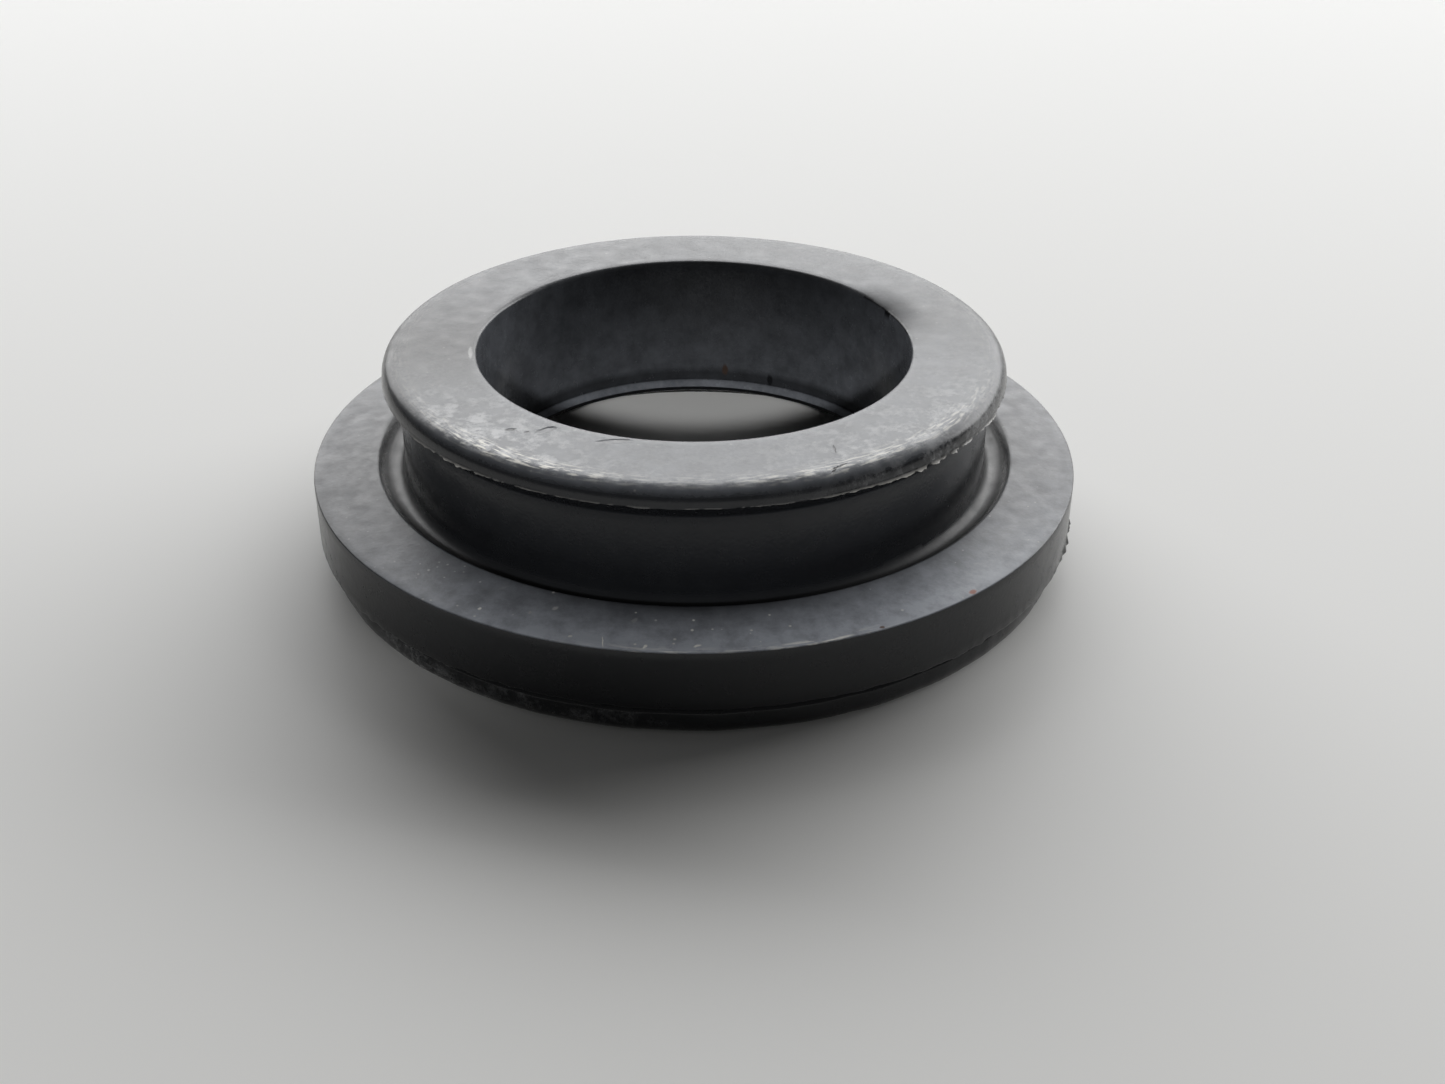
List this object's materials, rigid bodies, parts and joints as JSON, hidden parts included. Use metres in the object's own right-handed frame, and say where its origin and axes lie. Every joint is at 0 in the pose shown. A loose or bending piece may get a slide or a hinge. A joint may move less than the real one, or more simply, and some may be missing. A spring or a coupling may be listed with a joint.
{
  "type": "rubber bushing",
  "caption": "Moulded rubber bushing: a round flange, a raised collar with a lip that snaps through a panel's hole, one bore through both and a recess under the flange.",
  "frame": {"origin": "on the bore's axis, in the plane of the flange's foot", "axes": "+Z along the bore's axis, from the foot to the collar's top face; X and Y are free, because the part is round"},
  "size_m": [0.056, 0.056, 0.0153],
  "materials": {
    "rubber": "moulded, matte and dusty"
  },
  "bodies": {
    "root": {"bushing": "rubber"}
  },
  "joints": []
}
